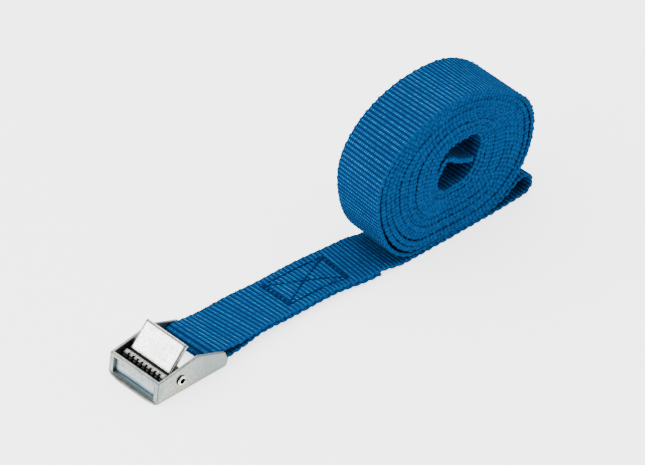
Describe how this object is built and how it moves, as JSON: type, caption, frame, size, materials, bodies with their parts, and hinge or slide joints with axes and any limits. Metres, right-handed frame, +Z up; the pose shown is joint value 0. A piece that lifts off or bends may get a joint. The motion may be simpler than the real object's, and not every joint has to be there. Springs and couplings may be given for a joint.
{
  "type": "cam buckle lashing strap",
  "caption": "Lashing strap of flat blue webbing, wound into an oval roll, with a sewn-on zinc-plated clamping buckle that has a sprung toothed cam lever.",
  "frame": {"origin": "middle of the strap's bounding box, at the level of the surface it lies on", "axes": "+X along the strap from the buckle to the roll, +Y across the webbing, +Z up"},
  "size_m": [0.1976, 0.0294, 0.0662],
  "materials": {
    "plated_sheet": "zinc-plated pressed steel, satin with a faint blue and yellow cast",
    "plated_casting": "bright zinc-plated casting",
    "plated_pin": "zinc-plated rolled steel",
    "spring_wire": "drawn spring steel wire",
    "webbing": "ribbed blue polypropylene webbing, slightly glossy",
    "thread": "twisted navy polyester sewing thread"
  },
  "bodies": {
    "strap": {"webbing_loop": "webbing", "webbing_tail": "webbing", "webbing_lead": "webbing", "webbing_table_run": "webbing", "webbing_end_fold": "webbing", "webbing_return": "webbing", "webbing_roll": "webbing", "needle_thread": "thread", "bobbin_thread": "thread"},
    "buckle": {"buckle_frame": "plated_sheet", "pivot_pin": "plated_pin", "torsion_spring": "spring_wire"},
    "lever": {"cam_lever": "plated_casting"}
  },
  "joints": [
    {"name": "buckle_swing", "type": "hinge", "parent": "strap", "child": "buckle", "pos_m": [-0.0672, 0, 0.0047], "axis": [0, 1, 0], "range_deg": [0, 90]},
    {"name": "lever_press", "type": "hinge", "parent": "buckle", "child": "lever", "pos_m": [-0.0856, 0, 0.006], "axis": [0, 1, 0], "range_deg": [0, 45], "stiffness_Nm_per_rad": 0.06, "springref_deg": -28.65, "deforming": ["torsion_spring"]}
  ]
}
